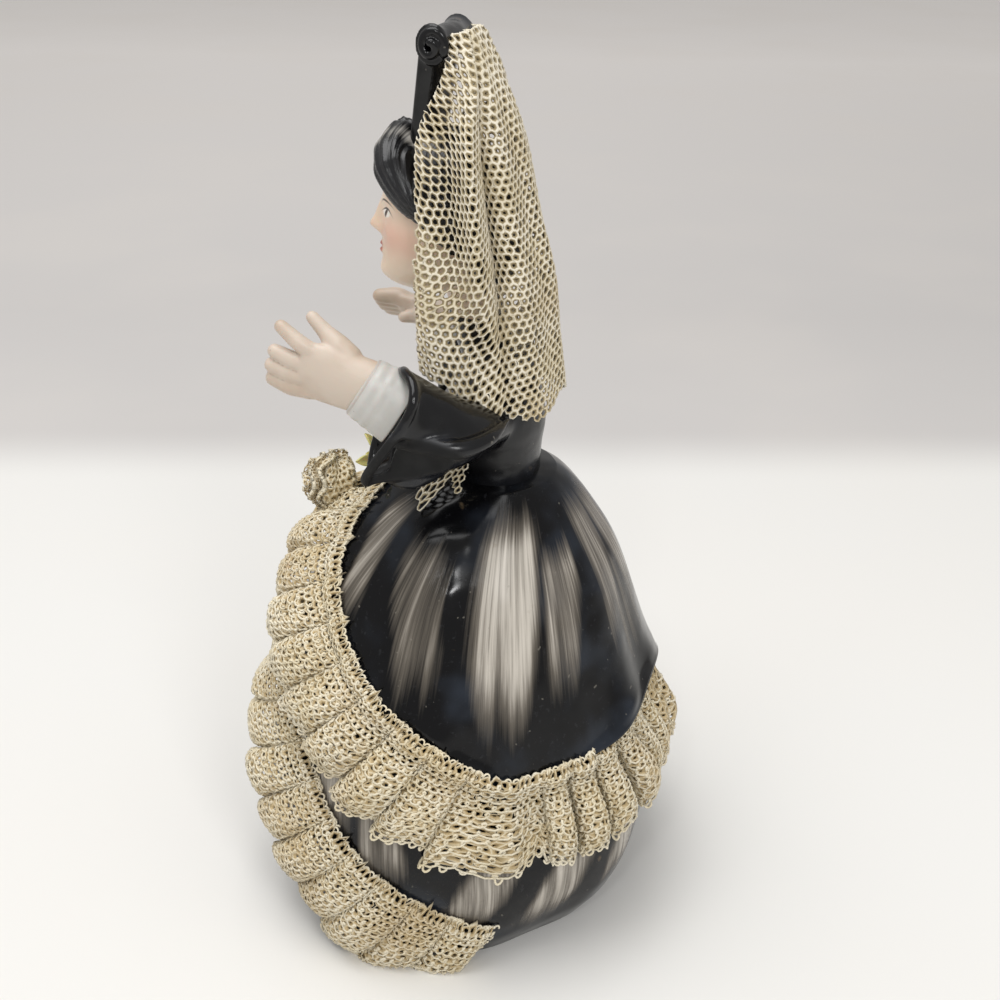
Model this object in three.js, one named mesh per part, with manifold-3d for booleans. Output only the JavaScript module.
// A slip-cast porcelain lady in a wide black dress and a lace mantilla over a tall comb.
// The lace is real lace dipped in slip: the veil, the tiers of skirt ruffles, the gathered lace at
// the waist and the narrow waist trim are pieces of their own, laid on the cast figure.
// Millimetres, +Z up, she faces -Y, and her left is +X. The origin is the centre of the flat
// underside. An angle round the skirt is counted from the front, 0 at -Y, towards her left.
import * as THREE from "three";
import Module from "manifold-3d";
import { mergeVertices } from "three/addons/utils/BufferGeometryUtils.js";

const wasm = await Module();
wasm.setup();

const { clamp, degToRad, lerp, radToDeg, smoothstep } = THREE.MathUtils;
const vec = (x, y, z) => new THREE.Vector3(x, y, z);

// Skirt
const SKIRT_RADIUS = 47; // at its widest, without the flutes
const SKIRT_TOP = 107; // where the skirt meets the waist
const WAIST_SETBACK = 11.5; // the waist's centre behind the base's
const FOLD_DEPTH = 1; // soft flutes of the skirt, at the hem

// Overskirt, an open-fronted layer over the skirt
const OVER_THICKNESS = 1.5;
const OVER_FLARE = 1.1; // how far its edge kicks out
const OVER_FLARE_HEIGHT = 7;
const OVER_OPENING = 10; // degrees from the front where its edge leaves the waist
const OVER_LOWEST = 122; // degrees from the front where the edge has come down
const OVER_HEM = 53; // height of its edge round the sides
const OVER_BACK_RISE = 6; // how much higher it is at the back
const OVER_WAISTBAND = 5;

// Lace
const LACE_GAP = 0.55; // between a piece of lace and what it lies on
const RUFFLE_WIDTH = 22; // depth of the gathered lace strip
const RUFFLE_THICKNESS = 0.9; // lace at the bottom of a pleat
const RUFFLE_PLEAT = 3.1; // how far a pleat stands out at its loose edge
const RUFFLE_ROOT_PLEAT = 1.2; // and at its gathered edge
const TUCKED_SHARE = 0.28; // of a ruffle's height, where it is tucked under another
const SIDE_PLEAT_PITCH = 9;
const BACK_PLEAT_PITCH = 6.4;
const VEIL_THICKNESS = 1.2;
const VEIL_LENGTH = 62.5; // at its front edges
const VEIL_DROP = 14.5; // how much longer it is behind
const VEIL_FOLDS = 6;
const VEIL_FOLD_DEPTH = 1.2;

// Figure
const BODICE_LENGTH = 21.5; // waist to shoulders
const NECK_LENGTH = 16.2; // shoulders to the chin
const HEAD_RADII = vec(11.2, 13, 16);
const HEAD_FORWARD = 12; // the head's centre in front of the waist's
const HAIR_THICKNESS = 1.5;
const COMB_HEIGHT = 19.2; // above the hair
const COMB_ARCH = 0.6; // its ends below its middle
const COMB_HALF_WIDTH = 7.8;
const COMB_THICKNESS = 3.4;
const COMB_LEAN = 0.14; // how far the comb leans back for each millimetre up
const COMB_SCROLL_RADIUS = 3; // rolled top edge
const SLEEVE_WALL = 1.5;
const CUFF_DEPTH = 3.5; // hollow of the bell sleeve round the wrist
const SLEEVE_SCOOP = vec(7.4, 14.5, 9.5); // radii of the deep fold under the sleeve's outer side

const SHOULDER_HEIGHT = SKIRT_TOP + BODICE_LENGTH;
const HEAD_CENTRE = vec(0, WAIST_SETBACK - HEAD_FORWARD, SHOULDER_HEIGHT + NECK_LENGTH + HEAD_RADII.z + 2);
const HAIR_TOP = HEAD_CENTRE.z + HEAD_RADII.z + HAIR_THICKNESS;
const COMB_TOP = HAIR_TOP + COMB_HEIGHT;

// Colours
const BLACK_GLAZE = { color: 0x17181c, roughness: 0.22, metalness: 0 };
const LACE_SLIP = { color: 0xd9ccae, roughness: 0.62, metalness: 0 };
const ROSE_GLAZE = { color: 0xd6d58a, roughness: 0.3, metalness: 0 };

// Solids from grids of points

// A closed solid from vertices and triangles, turned right way out.
function solidFrom(points, triangles) {
  const geometry = new THREE.BufferGeometry();
  const numbers = points.flatMap((p) => [p.x, p.y, p.z]);
  geometry.setAttribute("position", new THREE.Float32BufferAttribute(numbers, 3));
  geometry.setIndex(triangles.flat());
  return solidOf(geometry);
}

// A geometry whose faces share their corners.
function welded(geometry) {
  const bare = geometry.clone();
  bare.deleteAttribute("normal");
  bare.deleteAttribute("uv");
  return mergeVertices(bare, 1e-4);
}

// The solid that a closed geometry bounds.
function solidOf(geometry) {
  const merged = welded(geometry);
  const vertProperties = merged.attributes.position.array;
  let triVerts = new Uint32Array(merged.index.array);
  let solid = new wasm.Manifold(new wasm.Mesh({ numProp: 3, vertProperties, triVerts }));
  if (solid.volume() < 0) {
    triVerts = triVerts.slice().reverse();
    solid = new wasm.Manifold(new wasm.Mesh({ numProp: 3, vertProperties, triVerts }));
  }
  return solid;
}

// Rings of points, each closed on itself, skinned one to the next, with a fan over each end.
function skinRings(rings) {
  const around = rings[0].length;
  const points = rings.flat();
  const triangles = [];
  for (let row = 0; row + 1 < rings.length; row++) {
    for (let i = 0; i < around; i++) {
      const a = row * around + i;
      const b = row * around + ((i + 1) % around);
      triangles.push([a, b, b + around], [a, b + around, a + around]);
    }
  }
  const middle = (ring) => ring.reduce((sum, p) => sum.add(p), vec(0, 0, 0)).divideScalar(around);
  const last = (rings.length - 1) * around;
  points.push(middle(rings[0]), middle(rings[rings.length - 1]));
  for (let i = 0; i < around; i++) {
    const next = (i + 1) % around;
    triangles.push([next, i, points.length - 2], [last + i, last + next, points.length - 1]);
  }
  return solidFrom(points, triangles);
}

// A slab between two open sheets: across and down run from 0 to 1 on both.
function slabBetween(front, back, columns, rows) {
  const points = [];
  const triangles = [];
  const at = (side, row, column) => (side * (rows + 1) + row) * (columns + 1) + column;
  [front, back].forEach((sheet) => {
    for (let row = 0; row <= rows; row++) {
      for (let column = 0; column <= columns; column++) points.push(sheet(column / columns, row / rows));
    }
  });
  const quad = (a, b, c, d) => triangles.push([a, b, c], [a, c, d]);
  for (let row = 0; row < rows; row++) {
    for (let column = 0; column < columns; column++) {
      quad(at(0, row, column), at(0, row, column + 1), at(0, row + 1, column + 1), at(0, row + 1, column));
      quad(at(1, row + 1, column), at(1, row + 1, column + 1), at(1, row, column + 1), at(1, row, column));
    }
  }
  for (let column = 0; column < columns; column++) {
    quad(at(1, 0, column), at(1, 0, column + 1), at(0, 0, column + 1), at(0, 0, column));
    quad(at(0, rows, column), at(0, rows, column + 1), at(1, rows, column + 1), at(1, rows, column));
  }
  for (let row = 0; row < rows; row++) {
    quad(at(0, row, 0), at(0, row + 1, 0), at(1, row + 1, 0), at(1, row, 0));
    quad(at(1, row, columns), at(1, row + 1, columns), at(0, row + 1, columns), at(0, row, columns));
  }
  return solidFrom(points, triangles);
}

// A ball of radius 1 with its poles above and below.
function unitBall(across, down) {
  const ball = new THREE.SphereGeometry(1, across, down);
  ball.rotateX(Math.PI / 2);
  return welded(ball);
}

// An ellipsoid, from a ball stretched to three radii.
function ellipsoid(centre, radii, across = 16, down = 10) {
  const ball = unitBall(across, down);
  ball.scale(radii.x, radii.y, radii.z);
  ball.translate(centre.x, centre.y, centre.z);
  return solidOf(ball);
}

// A tube of round section whose radius follows the path, with domed ends.
function limb(path, radii, around = 8, steps = 5) {
  const curve = new THREE.CatmullRomCurve3(path);
  const rings = [];
  for (let i = 0; i <= steps; i++) {
    const share = i / steps;
    const along = curve.getTangentAt(share);
    const side = vec(0.31, 0.17, 0.93).cross(along).normalize();
    const up = along.clone().cross(side);
    const radius = valueAlong(radii, share);
    rings.push(ringOf(curve.getPointAt(share), side, up, radius, radius, around));
  }
  const tip = (ring, centre, way, radius) =>
    ring.map((p) => centre.clone().lerp(p, 0.6).addScaledVector(way, 0.75 * radius));
  const startWay = curve.getTangentAt(0).negate();
  const endWay = curve.getTangentAt(1);
  rings.unshift(tip(rings[0], path[0], startWay, radii[0]));
  rings.push(tip(rings[rings.length - 1], path[path.length - 1], endWay, radii[radii.length - 1]));
  return skinRings(rings);
}

// A ring of points on an ellipse in the plane of two directions.
function ringOf(centre, side, up, halfSide, halfUp, around) {
  return Array.from({ length: around }, (_, i) => {
    const turn = (2 * Math.PI * i) / around;
    return centre
      .clone()
      .addScaledVector(side, halfSide * Math.cos(turn))
      .addScaledVector(up, halfUp * Math.sin(turn));
  });
}

// A value read off an evenly spaced list, smoothly, at a share of its length.
function valueAlong(values, share) {
  const place = clamp(share, 0, 1) * (values.length - 1);
  const low = Math.min(Math.floor(place), values.length - 2);
  return lerp(values[low], values[low + 1], place - low);
}

function joined(solids) {
  return solids.reduce((whole, next) => whole.add(next));
}

// Skirt and overskirt

// The skirt's profile from the ground up, as shares of its height, widest radius and setback.
const SKIRT_PROFILE = [
  { rise: 0, radius: 0.9, back: 0 },
  { rise: 0.07, radius: 0.955, back: 0.18 },
  { rise: 0.17, radius: 0.995, back: 0.32 },
  { rise: 0.3, radius: 1, back: 0.31 },
  { rise: 0.43, radius: 0.946, back: 0.25 },
  { rise: 0.56, radius: 0.9, back: 0.28 },
  { rise: 0.7, radius: 0.8, back: 0.37 },
  { rise: 0.82, radius: 0.675, back: 0.49 },
  { rise: 0.92, radius: 0.49, back: 0.7 },
  { rise: 0.97, radius: 0.36, back: 0.88 },
  { rise: 1, radius: 0.25, back: 1 },
];

// A value of a profile at a rise, on a smooth curve through its entries.
function profileAt(profile, key, rise) {
  const want = clamp(rise, 0, 1);
  const i = Math.min(Math.max(profile.findIndex((entry) => entry.rise >= want), 1), profile.length - 1);
  const slope = (j) => {
    const before = profile[Math.max(j - 1, 0)];
    const after = profile[Math.min(j + 1, profile.length - 1)];
    return (after[key] - before[key]) / (after.rise - before.rise);
  };
  const [low, high] = [profile[i - 1], profile[i]];
  const span = high.rise - low.rise;
  const t = (want - low.rise) / span;
  const startBlend = (1 + 2 * t) * (1 - t) * (1 - t);
  return (
    startBlend * low[key] +
    (1 - startBlend) * high[key] +
    span * t * (1 - t) * ((1 - t) * slope(i - 1) - t * slope(i))
  );
}

const skirtRadius = (z) => SKIRT_RADIUS * profileAt(SKIRT_PROFILE, "radius", z / SKIRT_TOP);
const skirtCentre = (z) => WAIST_SETBACK * profileAt(SKIRT_PROFILE, "back", z / SKIRT_TOP);

// Soft flutes that die out towards the waist.
function skirtFold(angle, z) {
  const strength = FOLD_DEPTH * Math.pow(1 - clamp(z / SKIRT_TOP, 0, 1), 0.7);
  return strength * (0.7 * Math.cos(9 * angle + 0.5) + 0.3 * Math.cos(5 * angle - 1));
}

// The way the skirt faces at an angle and a height.
function skirtNormal(angle, z) {
  const slope = skirtRadius(z + 0.5) - skirtRadius(z - 0.5);
  return vec(Math.sin(angle), -Math.cos(angle), z > 1 ? -slope : 0).normalize();
}

// A point of the underskirt, lifted off it along its normal.
function skirtPoint(angle, z, lift = 0) {
  const radius = skirtRadius(z) + skirtFold(angle, z);
  const point = vec(radius * Math.sin(angle), skirtCentre(z) - radius * Math.cos(angle), z);
  return point.addScaledVector(skirtNormal(angle, z), lift);
}

// Degrees from the front, the same on both sides.
function fromFront(angle) {
  return Math.abs(radToDeg(Math.atan2(Math.sin(angle), Math.cos(angle))));
}

// Height of the overskirt's edge at an angle, level round the back and climbing to the waist in front.
function overHem(angle) {
  const degrees = fromFront(angle);
  const down = clamp((degrees - OVER_OPENING) / (OVER_LOWEST - OVER_OPENING), 0, 1);
  const fall = lerp(Math.pow(down, 1.15), smoothstep(down, 0, 1), 0.55);
  const back = OVER_BACK_RISE * smoothstep(degrees, 140, 178);
  return lerp(SKIRT_TOP - OVER_WAISTBAND, OVER_HEM, fall) + back;
}

// How far the overskirt stands off the underskirt.
function overLift(angle, z) {
  const there = smoothstep(fromFront(angle), OVER_OPENING - 5, OVER_OPENING + 3);
  const flare = OVER_FLARE * Math.exp(-(z - overHem(angle)) / OVER_FLARE_HEIGHT);
  return 0.05 + there * (OVER_THICKNESS + flare);
}

function skirtSolid() {
  const around = 48;
  const lowerRows = 5;
  const upperRows = 7;
  const angles = Array.from({ length: around }, (_, i) => (2 * Math.PI * i) / around);
  const rings = [];
  for (let row = 0; row <= lowerRows; row++) {
    const share = Math.pow(row / lowerRows, 1.3);
    rings.push(angles.map((angle) => skirtPoint(angle, overHem(angle) * share)));
  }
  for (let row = 0; row <= upperRows; row++) {
    rings.push(
      angles.map((angle) => {
        const z = lerp(overHem(angle), SKIRT_TOP, row / upperRows);
        return skirtPoint(angle, z, overLift(angle, z));
      }),
    );
  }
  return skinRings(rings);
}

// Bodice and neck

// Sections from inside the skirt to inside the head. Rise is a share of the bodice's length, back
// is behind the head's centre as a share of how far the waist is.
const BODICE_SECTIONS = [
  { rise: -0.3, x: 12, y: 10.5, back: 0.94 },
  { rise: 0.06, x: 10.8, y: 9.4, back: 1 },
  { rise: 0.33, x: 12, y: 10.4, back: 0.93 },
  { rise: 0.58, x: 14, y: 11.8, back: 0.86 },
  { rise: 0.84, x: 15, y: 10.2, back: 0.9 },
  { rise: 1, x: 14, y: 7.8, back: 0.92 },
  { rise: 1.15, x: 8.6, y: 6.2, back: 0.86 },
  { rise: 1.35, x: 5.2, y: 5.2, back: 0.72 },
  { rise: 2.15, x: 4.8, y: 5, back: 0.3 },
];

function bodiceSolid() {
  const rings = BODICE_SECTIONS.map(({ rise, x, y, back }) => {
    const centre = vec(0, HEAD_CENTRE.y + HEAD_FORWARD * back, SKIRT_TOP + BODICE_LENGTH * rise);
    return ringOf(centre, vec(1, 0, 0), vec(0, 1, 0), x, y, 20);
  });
  return skinRings(rings);
}

// Arms, for side 1, her left, or -1, her right. Points are given for her left arm, from the middle
// of the shoulders: outwards, forwards and up.

const SHOULDER = vec(8, 0, -6);
const ELBOW = vec(20.5, 5, -4);
const CUFF = vec(25.6, 15.6, -2.4);
const WRIST = vec(25, 21.2, 5.3);
const SCOOP_CENTRE = vec(34.5, 7.4, -11);
const KNUCKLES = vec(26.8, 33, 8.6);
const RIGHT_HAND_DROP = 4.4; // her right hand is held lower
const RIGHT_HAND_IN = 5.5; // nearer to the middle
const RIGHT_HAND_BACK = 4.5; // farther back
const RIGHT_HAND_ROLL = 74; // and with its palm turned up by so many degrees
const CUFF_HALF_WIDTH = 8.4;
const CUFF_HALF_HEIGHT = 12.6;
const WRIST_HALF_HEIGHT = 6.3;
const WRIST_HALF_WIDTH = 5.4;

// A point of the arm in the figure's frame. The right arm is lowered and drawn in as it reaches out.
function armPoint(p, side) {
  const reach = side < 0 ? clamp(p.y / KNUCKLES.y, 0, 1.2) : 0;
  return vec(
    side * (p.x - RIGHT_HAND_IN * reach),
    HEAD_CENTRE.y + 0.98 * HEAD_FORWARD - p.y + RIGHT_HAND_BACK * reach,
    SHOULDER_HEIGHT + p.z - RIGHT_HAND_DROP * reach,
  );
}

// A section of the bell sleeve at a share of its length, shrunk by inset. The sleeve leaves the
// shoulder sideways and turns forwards to the cuff, whose edge is cut back above and outside.
function sleeveRing(share, inset, side, around = 16) {
  const centre = new THREE.CatmullRomCurve3([SHOULDER, ELBOW, CUFF]).getPoint(share);
  const heading = (Math.PI / 2) * smoothstep(share, 0, 0.9);
  const along = vec(Math.cos(heading), Math.sin(heading), 0);
  const across = vec(Math.sin(heading), -Math.cos(heading), 0);
  const width = lerp(7.4, CUFF_HALF_WIDTH, share) - inset;
  const rise = lerp(4.4, CUFF_HALF_HEIGHT, Math.pow(share, 1.3)) - inset;
  const fall = lerp(5, CUFF_HALF_HEIGHT + 1, Math.pow(share, 1.3)) - inset;
  return Array.from({ length: around }, (_, i) => {
    const outwards = Math.cos((2 * Math.PI * i) / around);
    const upwards = Math.sin((2 * Math.PI * i) / around);
    const point = centre.clone().addScaledVector(across, width * outwards);
    point.z += upwards * (upwards > 0 ? rise : fall);
    const cutBack = 3.9 * upwards + 3.4 * outwards + 4.5 * upwards * Math.max(outwards, 0);
    point.addScaledVector(along, -cutBack * share * share);
    return armPoint(point, side);
  });
}

function sleeveSolid(side) {
  const rings = [0, 0.2, 0.4, 0.6, 0.8, 1].map((share) => sleeveRing(share, 0, side));
  const length = SHOULDER.distanceTo(ELBOW) + ELBOW.distanceTo(CUFF);
  rings.push(sleeveRing(1, SLEEVE_WALL, side));
  rings.push(sleeveRing(1 - CUFF_DEPTH / length, SLEEVE_WALL + 0.8, side));
  const scoop = ellipsoid(armPoint(SCOOP_CENTRE, side), SLEEVE_SCOOP, 14, 8);
  return skinRings(rings).subtract(scoop);
}

// The light under-sleeve, an oval tube that widens into the bell sleeve.
function undersleeveSolid(side) {
  const inside = vec(24, 10, -1.4);
  const along = WRIST.clone().sub(inside).normalize();
  const across = vec(0, 0, 1).cross(along).normalize();
  const upright = along.clone().cross(across);
  const rings = [0, 0.5, 0.93, 1].map((share) => {
    const size = share === 1 ? 0.8 : lerp(1.6, 1.03, share);
    const centre = inside.clone().lerp(WRIST, share);
    return ringOf(centre, across, upright, size * WRIST_HALF_WIDTH, size * WRIST_HALF_HEIGHT, 14).map((p) =>
      armPoint(p, side),
    );
  });
  return skinRings(rings);
}

// Fingers: place and spread across the palm, length and thickness.
const FINGERS = [
  { across: 4, spread: 0.4, length: 8.6, radius: 1.7 },
  { across: 1.3, spread: 0.08, length: 10, radius: 1.7 },
  { across: -1.5, spread: -0.04, length: 7.6, radius: 1.7 },
  { across: -4, spread: -0.16, length: 6.4, radius: 1.55 },
];
const THUMB = { across: 4.2, spread: 0.6, length: 8.6, radius: 1.7 };
const RIGHT_HAND_SPREAD = 0.2; // her right fingers are held closer together
const PALM_HALF_WIDTH = 6.1;
const PALM_HALF_THICKNESS = 2.9;

// The hand, thumb up and back outwards, with the fingers spread and a little bent.
function handSolid(side) {
  const palmLength = KNUCKLES.distanceTo(WRIST);
  const along = KNUCKLES.clone().sub(WRIST).normalize();
  const out = vec(1, 0, 0).addScaledVector(along, -along.x).normalize();
  const up = out.clone().cross(along).normalize();
  const roll = side < 0 ? degToRad(RIGHT_HAND_ROLL) : 0;
  out.applyAxisAngle(along, roll);
  up.applyAxisAngle(along, roll);
  const at = (far, across, lift) => {
    const point = WRIST.clone().addScaledVector(along, far).addScaledVector(up, across);
    return armPoint(point.addScaledVector(out, lift), side);
  };
  const section = (far, halfWidth, halfThickness) =>
    Array.from({ length: 10 }, (_, i) => {
      const turn = (Math.PI * i) / 5;
      return at(far, halfWidth * Math.cos(turn), halfThickness * Math.sin(turn));
    });
  const palm = skinRings([
    section(-2, WRIST_HALF_HEIGHT * 0.92, WRIST_HALF_WIDTH * 0.86),
    section(palmLength * 0.35, PALM_HALF_WIDTH, 3.7),
    section(palmLength * 0.7, PALM_HALF_WIDTH, PALM_HALF_THICKNESS),
    section(palmLength, PALM_HALF_WIDTH * 0.92, 2.1),
    section(palmLength + 1, PALM_HALF_WIDTH * 0.7, 1.2),
  ]);
  const opening = side < 0 ? RIGHT_HAND_SPREAD : 1;
  const fingers = FINGERS.map(({ across, spread, length, radius }) => {
    const fingerAt = (share, lift) =>
      at(palmLength - 3 + length * share, across + opening * spread * length * share, lift);
    return limb([fingerAt(0, 0), fingerAt(0.5, 0.4), fingerAt(1, -0.9)], [radius, radius, radius * 0.8], 6, 2);
  });
  const thumbAt = (share) => {
    const across = THUMB.across + opening * THUMB.spread * THUMB.length * share;
    return at(palmLength * 0.3 + THUMB.length * share, across, -0.8 - 3 * share);
  };
  const thumbRadii = [THUMB.radius * 1.8, THUMB.radius * 1.2, THUMB.radius * 0.8];
  const thumb = limb([thumbAt(0), thumbAt(0.5), thumbAt(1)], thumbRadii, 6, 2);
  return joined([palm, ...fingers, thumb]);
}

// Head, hair and comb

// The head as a ball that narrows to the chin, with brow, nose, lips and chin as soft bumps.
function headSolid() {
  const ball = unitBall(18, 12);
  const place = ball.attributes.position;
  const bump = (p, x, z, wide, tall, height) =>
    p.y < 0 ? height * Math.exp(-(((p.x - x) / wide) ** 2) - ((p.z - z) / tall) ** 2) : 0;
  for (let i = 0; i < place.count; i++) {
    const p = vec(place.getX(i), place.getY(i), place.getZ(i));
    const low = Math.max(0, -p.z);
    const jaw = 1 - 0.24 * Math.pow(low, 1.6);
    const chin = p.y < 0 ? 1 + 1.05 * Math.pow(low, 3) : 1;
    const features =
      bump(p, 0, -0.12, 0.15, 0.16, 0.15) -
      bump(p, 0.36, 0.1, 0.2, 0.13, 0.05) -
      bump(p, -0.36, 0.1, 0.2, 0.13, 0.05);
    place.setXYZ(
      i,
      HEAD_CENTRE.x + HEAD_RADII.x * jaw * p.x,
      HEAD_CENTRE.y + HEAD_RADII.y * (chin * p.y - features),
      HEAD_CENTRE.z + HEAD_RADII.z * p.z,
    );
  }
  return solidOf(ball);
}

// A point by the head, in shares of its radii from its centre.
function byHead(x, y, z) {
  return HEAD_CENTRE.clone().add(vec(x * HEAD_RADII.x, y * HEAD_RADII.y, z * HEAD_RADII.z));
}

// Hair: a cap over the skull cut off along the hairline, two waves from the parting and a chignon.
function hairSolid() {
  const radii = HEAD_RADII.clone().addScalar(HAIR_THICKNESS);
  const cap = ellipsoid(byHead(0, 0.03, 0), radii, 14, 9);
  const keep = new THREE.BoxGeometry(60, 60, 60);
  keep.translate(0, 30, 30);
  keep.rotateX(degToRad(-52));
  const corner = byHead(0, -0.98, 0.6);
  keep.translate(corner.x, corner.y, corner.z);
  const waves = [1, -1].map((side) =>
    limb(
      [
        byHead(side * 0.14, -0.6, 0.94),
        byHead(side * 0.6, -0.62, 0.72),
        byHead(side * 0.98, -0.36, 0.18),
        byHead(side * 0.92, 0.2, -0.3),
      ],
      [3, 4, 3.2, 1.8],
      6,
      3,
    ),
  );
  const chignon = ellipsoid(byHead(0, 0.72, -0.5), vec(8.2, 6, 7.6), 10, 6);
  return joined([cap.intersect(solidOf(keep)), ...waves, chignon]);
}

// A point on the comb's middle surface, bowed round the head and leaning back.
function combPoint(across, z, depth = 0) {
  const rise = z - HAIR_TOP;
  const x = across * COMB_HALF_WIDTH * lerp(0.78, 1, clamp(rise / COMB_HEIGHT, 0, 1));
  return vec(x, HEAD_CENTRE.y - 1.6 + COMB_LEAN * rise - x * x * 0.008 + depth, z);
}

function combSolid() {
  const foot = HAIR_TOP - 6;
  const rollHeight = (across) => COMB_TOP - COMB_SCROLL_RADIUS - COMB_ARCH * across * across;
  const face = (depth) => (share, down) => {
    const across = 1 - 2 * share;
    return combPoint(across, lerp(rollHeight(across), foot, down), depth);
  };
  const plate = slabBetween(face(-COMB_THICKNESS / 2), face(COMB_THICKNESS / 2), 10, 2);
  const steps = 8;
  const roll = Array.from({ length: steps + 1 }, (_, i) => {
    const across = lerp(-1.03, 1.03, i / steps);
    const centre = combPoint(across, rollHeight(across));
    return ringOf(centre, vec(0, 1, 0), vec(0, 0, 1), COMB_SCROLL_RADIUS, COMB_SCROLL_RADIUS, 8);
  });
  return joined([plate, skinRings(roll)]);
}

function figureSolid() {
  const sides = [1, -1].flatMap((side) => [sleeveSolid(side), undersleeveSolid(side), handSolid(side)]);
  return joined([skirtSolid(), bodiceSolid(), headSolid(), hairSolid(), combSolid(), ...sides]).simplify(0.07);
}

// Skirt ruffles

// Where the upper edge of the front ruffles runs, in degrees from the front and shares of height.
const FRONT_EDGE = [
  { angle: 31, rise: 0.735 },
  { angle: 43, rise: 0.645 },
  { angle: 54, rise: 0.515 },
  { angle: 66, rise: 0.41 },
  { angle: 80, rise: 0.3 },
  { angle: 94, rise: 0.205 },
  { angle: 107, rise: 0.155 },
  { angle: 119, rise: 0.12 },
];

// An edge on the skirt as angle and height, read at a share of its length.
function edgePath(placeAt, samples) {
  const places = Array.from({ length: samples + 1 }, (_, i) => placeAt(i / samples));
  const lengths = [0];
  for (let i = 1; i <= samples; i++) {
    const here = skirtPoint(places[i].angle, places[i].z);
    const before = skirtPoint(places[i - 1].angle, places[i - 1].z);
    lengths.push(lengths[i - 1] + here.distanceTo(before));
  }
  const total = lengths[samples];
  const at = (share) => {
    const want = clamp(share, 0, 1) * total;
    const i = Math.max(1, lengths.findIndex((length) => length >= want));
    const part = (want - lengths[i - 1]) / (lengths[i] - lengths[i - 1]);
    return {
      angle: lerp(places[i - 1].angle, places[i].angle, part),
      z: lerp(places[i - 1].z, places[i].z, part),
    };
  };
  return { at, total };
}

// A point of a ruffle: from the edge, down the skirt square to the edge, then off the skirt.
function rufflePoint(path, share, down, lift) {
  const step = 0.012;
  const here = path.at(share);
  const before = path.at(share - step);
  const after = path.at(share + step);
  const turned = (after.angle - before.angle) * skirtRadius(here.z);
  const way = new THREE.Vector2(turned, after.z - before.z).normalize();
  const downwards = way.x < 0 ? -1 : 1;
  const z = Math.max(here.z - Math.abs(way.x) * down, 0.3);
  const angle = here.angle + (downwards * way.y * down) / skirtRadius((here.z + z) / 2);
  const point = skirtPoint(angle, z, lift);
  point.z = Math.max(point.z, 0.3);
  return point;
}

// Height of the pleats at a place on the strip: a knife pleat climbs and drops, a box pleat is round.
function pleatHeight(count, share, boxShare) {
  const turn = (share * count) % 1;
  const knife = turn < 0.8 ? Math.pow(turn / 0.8, 0.8) : (1 - turn) / 0.2;
  const box = Math.pow(Math.sin(Math.PI * turn), 0.45);
  return lerp(knife, box, boxShare);
}

// A ruffle along a path. boxAt turns its knife pleats into box pleats, restAt lifts it off the skirt
// and fullAt presses it flat where it is tucked under another.
function ruffleSolid(path, pleats, { boxAt, restAt, fullAt }, columns, rows) {
  const rest = (share, down) => LACE_GAP + restAt(share, down);
  const lift = (share, down) => {
    const stand = lerp(RUFFLE_ROOT_PLEAT, RUFFLE_PLEAT, down) * pleatHeight(pleats, share, boxAt(share));
    return rest(share, down) + (RUFFLE_THICKNESS + stand) * lerp(TUCKED_SHARE, 1, fullAt(share));
  };
  const outer = (share, down) => rufflePoint(path, share, down * RUFFLE_WIDTH, lift(share, down));
  const inner = (share, down) => rufflePoint(path, share, down * RUFFLE_WIDTH, rest(share, down));
  return slabBetween(outer, inner, columns, rows);
}

// The overskirt's ruffle runs from one side of the opening round the back to the other. In front its
// loose edge lies over the tucked ends of the front ruffles.
function overskirtRuffle() {
  const waist = SKIRT_TOP - OVER_WAISTBAND;
  const start = Math.asin((BUNCH_RADIUS + LACE_GAP) / skirtRadius(waist));
  const path = edgePath((share) => {
    const angle = start + (2 * Math.PI - 2 * start) * share;
    return { angle, z: overHem(angle) - 0.6 };
  }, 160);
  const fromEnd = (share) => 0.5 - Math.abs(share - 0.5);
  const tuckedHeight = TUCKED_SHARE * (RUFFLE_THICKNESS + RUFFLE_PLEAT) + 1.6 * LACE_GAP;
  const shape = {
    boxAt: (share) => smoothstep(fromEnd(share), 0.3, 0.38),
    restAt: (share, down) =>
      tuckedHeight * smoothstep(-fromEnd(share), -0.22, -0.16) * smoothstep(down, 0.1, 0.5),
    fullAt: (share) => smoothstep(fromEnd(share), 0, 0.06),
  };
  const pleats = 2 * Math.round(path.total / (SIDE_PLEAT_PITCH + BACK_PLEAT_PITCH));
  return ruffleSolid(path, pleats, shape, pleats * 3, 2);
}

// Each front ruffle comes out from under the overskirt's and sweeps down and back to the ground.
function frontRuffle(side) {
  const curve = new THREE.SplineCurve(
    FRONT_EDGE.map(({ angle, rise }) => new THREE.Vector2(degToRad(angle), rise * SKIRT_TOP)),
  );
  const path = edgePath((share) => {
    const p = curve.getPoint(share);
    return { angle: side * p.x, z: p.y };
  }, 60);
  const pleats = Math.round(path.total / SIDE_PLEAT_PITCH);
  const shape = {
    boxAt: () => 0,
    restAt: () => 0,
    fullAt: (share) => smoothstep(share, 0.13, 0.27),
  };
  return ruffleSolid(path, pleats, shape, pleats * 4, 2);
}

// Veil

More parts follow.
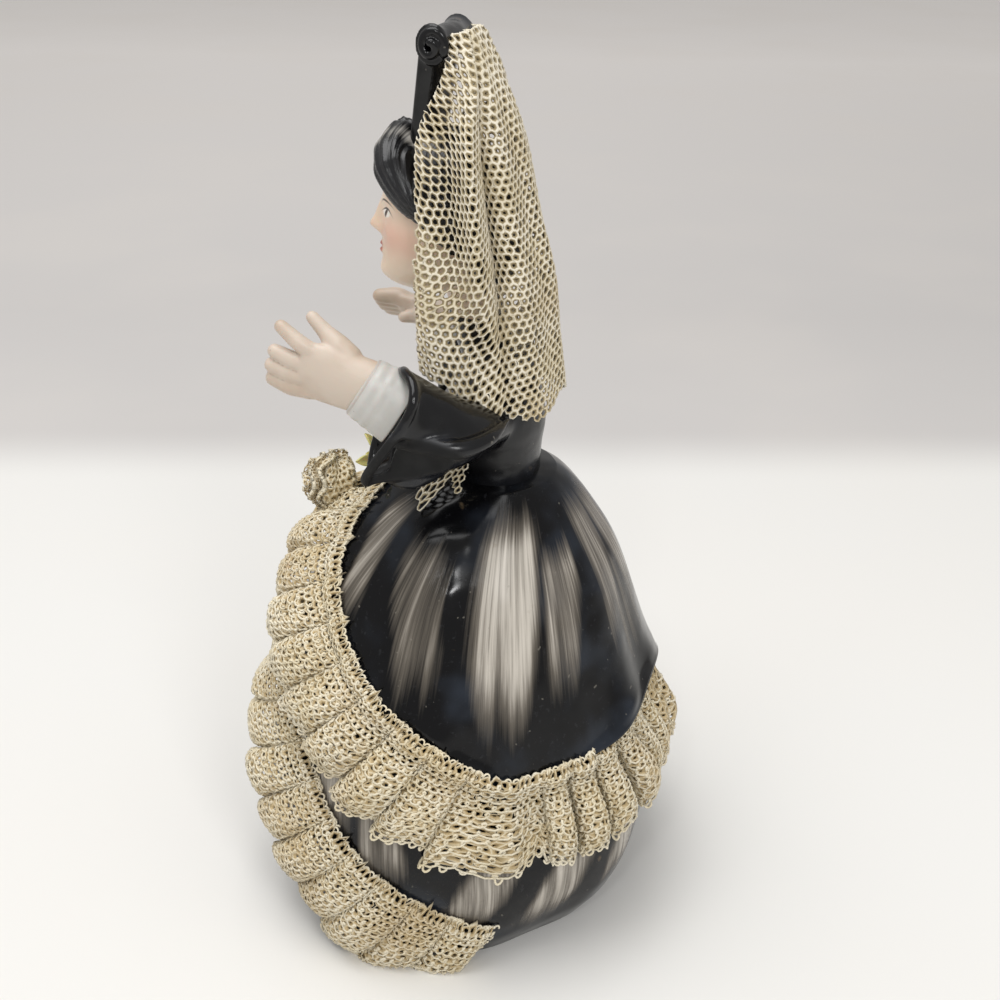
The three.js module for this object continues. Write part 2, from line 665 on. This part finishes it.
// Down the veil: a share of its length, where its front edges are and how far it hangs behind the
// head's centre, in shares of the head's depth, and its half-width, in shares of the head's.
const VEIL_SECTIONS = [
  { rise: 0, front: 0.37, half: 0.68, back: 0.57 },
  { rise: 0.12, front: 0.2, half: 1, back: 0.877 },
  { rise: 0.27, front: -0.046, half: 1.268, back: 1.246 },
  { rise: 0.45, front: -0.138, half: 1.375, back: 1.492 },
  { rise: 0.64, front: -0.077, half: 1.446, back: 1.723 },
  { rise: 0.83, front: 0, half: 1.5, back: 1.846 },
  { rise: 1, front: 0.046, half: 1.536, back: 1.97 },
];

const VEIL_CLEARANCE = 1; // over the sleeves
const SLEEVE_RISE = 0.6; // over the elbow, as a share of the cuff's half height
const SLEEVE_BACK = 6.6; // behind the middle of the shoulders
const VEIL_TURN = 3; // how far it hangs past its clearance before it is all behind them

// Where the veil reaches down to the sleeves, its front edges fall behind them.
function behindSleeves(y, z) {
  const top = SHOULDER_HEIGHT + ELBOW.z + SLEEVE_RISE * CUFF_HALF_HEIGHT + VEIL_CLEARANCE;
  const back = HEAD_CENTRE.y + HEAD_FORWARD + SLEEVE_BACK;
  return lerp(y, Math.max(y, back), clamp((top - z) / VEIL_TURN, 0, 1));
}

// A point of the veil: a fluted horseshoe round the back of the head, lowest at the back.
function veilPoint(across, down, inset) {
  const front = HEAD_RADII.y * profileAt(VEIL_SECTIONS, "front", down);
  const half = HEAD_RADII.x * profileAt(VEIL_SECTIONS, "half", down);
  const back = HEAD_RADII.y * profileAt(VEIL_SECTIONS, "back", down);
  const turn = Math.PI * (across - 0.5);
  const fold = VEIL_FOLD_DEPTH * Math.cos(turn) * (0.35 + down) * Math.cos(across * Math.PI * 2 * VEIL_FOLDS);
  const x = (half - inset + fold * Math.abs(Math.sin(turn))) * Math.sin(turn);
  const y = front + (back - front - inset + fold * Math.cos(turn)) * Math.pow(Math.cos(turn), 0.72);
  const arch = COMB_ARCH * (1 - down) * Math.sin(turn) ** 2;
  const sag = VEIL_DROP * down * (Math.pow(Math.cos(turn), 1.6) - 0.42 * Math.exp(-((turn / 0.35) ** 2)));
  const z = COMB_TOP - 1 - VEIL_LENGTH * down - arch - sag;
  return vec(x, behindSleeves(HEAD_CENTRE.y + y, z), z);
}

function veilSolid() {
  const outer = (across, down) => veilPoint(across, down, 0);
  const inner = (across, down) => veilPoint(across, down, VEIL_THICKNESS);
  return slabBetween(outer, inner, VEIL_FOLDS * 5, 7);
}

// Waist

const TRIM_WIDTH = 4.6;
const TRIM_REACH = 80; // degrees from the front to each end
const TRIM_POINTS = 9;
const TRIM_THICKNESS = 0.8;
const TRIM_FLARE = 8.4; // how far its loose edge stands out in front
const TRIM_SIDE_FLARE = 2.4;
const TRIM_DIP = 2.6; // below the top of the skirt in front
const TRIM_RISE = 3.2; // above it at the sides
const BUNCH_RADIUS = 5.6;
const BUNCH_DEPTH = 4.6; // half of it
const BUNCH_STAND = 2.3; // over the ends of the ruffles
const BUNCH_HEIGHT = 0.868; // share of the skirt's
const ROSE_RADIUS = 3.2;
const ROSE_BACK = 4.5; // nearer to the waist than the gathered lace

// A narrow frill of net round the front of the waist, flared over the top of the skirt and higher
// at the sides. Its loose edge is cut in points.
function waistTrim() {
  const root = BODICE_SECTIONS[2].x + LACE_GAP + 0.5;
  const at = (lift) => (across, down) => {
    const angle = degToRad(lerp(-TRIM_REACH, TRIM_REACH, across));
    const side = Math.abs(2 * across - 1);
    const point = 0.5 + 0.5 * Math.cos(2 * Math.PI * TRIM_POINTS * across);
    const reach = down * lerp(0.6, 1, point);
    const radius = root + lerp(TRIM_FLARE, TRIM_SIDE_FLARE, side) * reach;
    const z = SKIRT_TOP + lerp(-TRIM_DIP, TRIM_RISE, side) + TRIM_WIDTH * (1 - reach) + lift;
    return vec(radius * Math.sin(angle), WAIST_SETBACK - radius * Math.cos(angle), z);
  };
  return slabBetween(at(TRIM_THICKNESS), at(0), TRIM_POINTS * 4, 1);
}

const bunchCentre = () => skirtPoint(0, SKIRT_TOP * BUNCH_HEIGHT, LACE_GAP + BUNCH_STAND + BUNCH_DEPTH);

// The gathered lace where the ruffles meet in front, a rosette of rounded puffs.
function laceBunch() {
  const centre = bunchCentre();
  const puffs = Array.from({ length: 5 }, (_, i) => {
    const turn = (2 * i * Math.PI) / 5;
    const around = vec(Math.cos(turn), 0, Math.sin(turn)).multiplyScalar(0.61 * BUNCH_RADIUS);
    const middle = centre.clone().add(around).add(vec(0, -0.35 * BUNCH_DEPTH, 0));
    const radius = 0.57 * BUNCH_RADIUS;
    return ellipsoid(middle, vec(radius, radius, radius), 7, 4);
  });
  return joined([ellipsoid(centre, vec(BUNCH_RADIUS, BUNCH_DEPTH, BUNCH_RADIUS), 9, 5), ...puffs]);
}

// A small rose with leaves, set on top of the gathered lace.
function corsage() {
  const centre = bunchCentre().add(vec(0, ROSE_BACK, BUNCH_RADIUS + ROSE_RADIUS));
  const rose = ellipsoid(centre, vec(1.06, 0.94, 1).multiplyScalar(ROSE_RADIUS), 8, 5);
  const leaves = [-66, 8, 72].map((degrees) => {
    const turn = degToRad(degrees);
    const way = vec(Math.sin(turn), -0.35, Math.cos(turn) * 0.9);
    const root = centre.clone().addScaledVector(way, 0.6 * ROSE_RADIUS);
    const tip = centre.clone().addScaledVector(way, 1.9 * ROSE_RADIUS);
    return limb([root, root.clone().lerp(tip, 0.5).add(vec(0, 0, 0.6)), tip], [0.9, 1.4, 0.5], 5, 2);
  });
  return joined([rose, ...leaves]);
}

// Meshes

function geometryOf(solid) {
  const { vertProperties, triVerts, numProp } = solid.getMesh();
  const positions = new Float32Array((vertProperties.length / numProp) * 3);
  for (let i = 0; i < positions.length / 3; i++) {
    positions.set(vertProperties.subarray(i * numProp, i * numProp + 3), i * 3);
  }
  const geometry = new THREE.BufferGeometry();
  geometry.setAttribute("position", new THREE.BufferAttribute(positions, 3));
  geometry.setIndex(new THREE.BufferAttribute(new Uint32Array(triVerts), 1));
  geometry.computeVertexNormals();
  return geometry;
}

const lady = new THREE.Group();

function addPiece(name, solid, finish) {
  const mesh = new THREE.Mesh(geometryOf(solid), new THREE.MeshStandardMaterial(finish));
  mesh.name = name;
  lady.add(mesh);
}

addPiece("figure", figureSolid(), BLACK_GLAZE);
addPiece("veil", veilSolid(), LACE_SLIP);
addPiece("overskirt_ruffle", overskirtRuffle(), LACE_SLIP);
addPiece("front_ruffle_left", frontRuffle(1), LACE_SLIP);
addPiece("front_ruffle_right", frontRuffle(-1), LACE_SLIP);
addPiece("lace_bunch", laceBunch(), LACE_SLIP);
addPiece("waist_trim", waistTrim(), LACE_SLIP);
addPiece("corsage", corsage(), ROSE_GLAZE);

export default lady;
